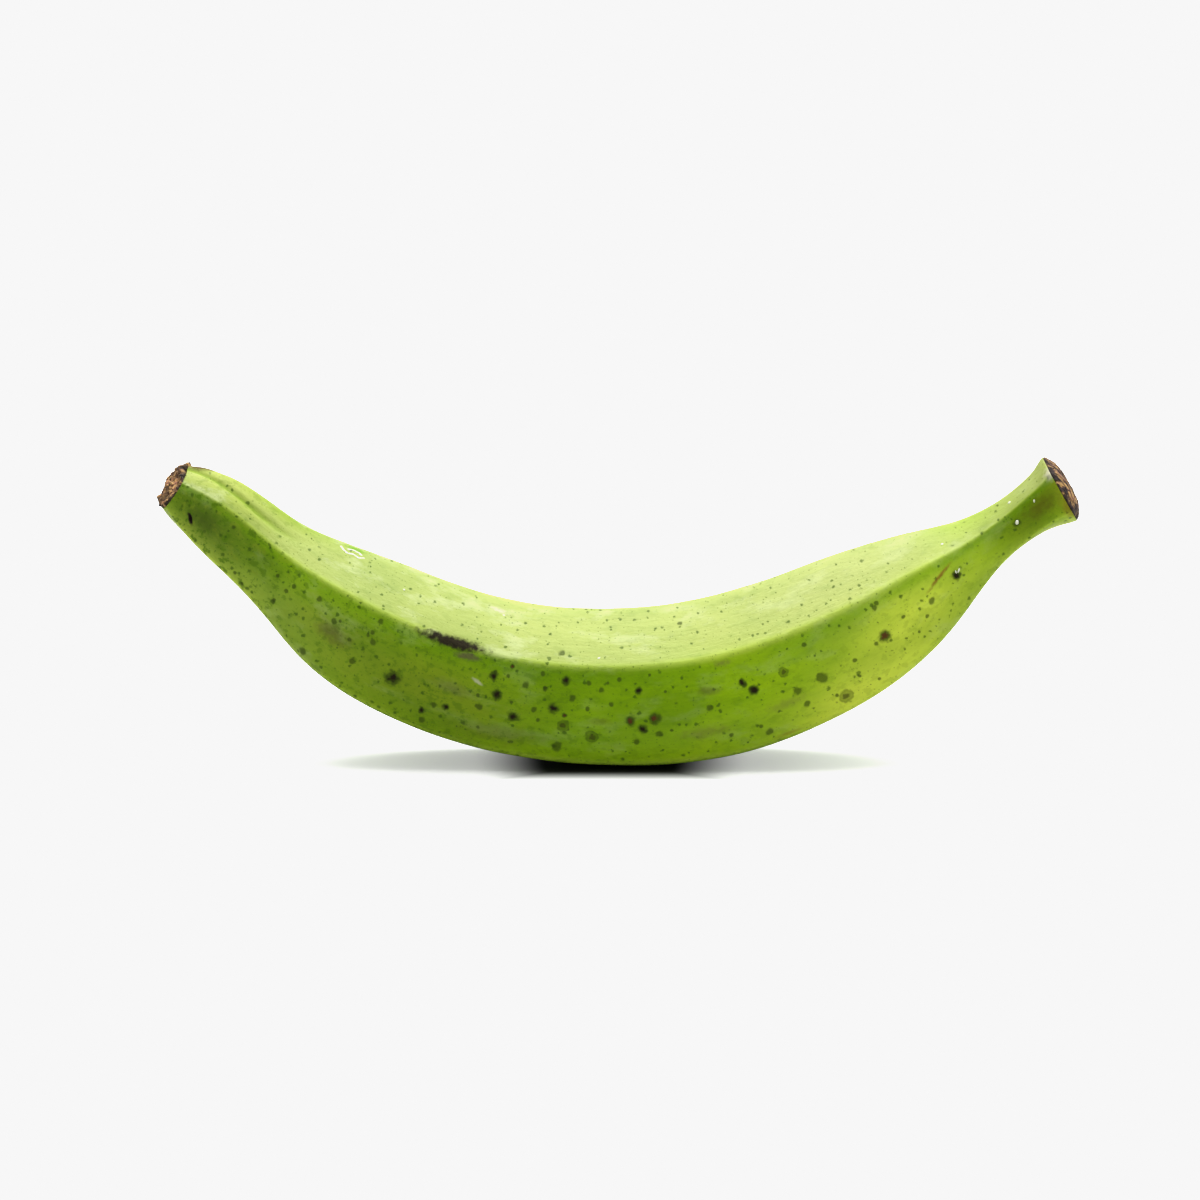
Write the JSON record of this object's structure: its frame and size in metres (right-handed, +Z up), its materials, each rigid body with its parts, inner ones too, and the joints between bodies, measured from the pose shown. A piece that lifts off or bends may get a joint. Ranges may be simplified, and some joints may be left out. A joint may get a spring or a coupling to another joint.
{
  "type": "plantain",
  "caption": "Green plantain, a curved ridged fruit with a cut stalk and a dry blossom end, lying on the outside of its curve.",
  "frame": {"origin": "on the surface that the fruit lies on, under the middle of its bounding box", "axes": "+X from the blossom end to the stalk, +Y to the back, +Z up; the fruit rests on the outside of its curve with both ends raised"},
  "size_m": [0.2748, 0.0502, 0.0906],
  "materials": {
    "peel": "satin",
    "stalk_cut": "matte",
    "blossom_scar": "matte",
    "dried_sap": "gloss"
  },
  "bodies": {
    "root": {"plantain": "peel"}
  },
  "joints": []
}
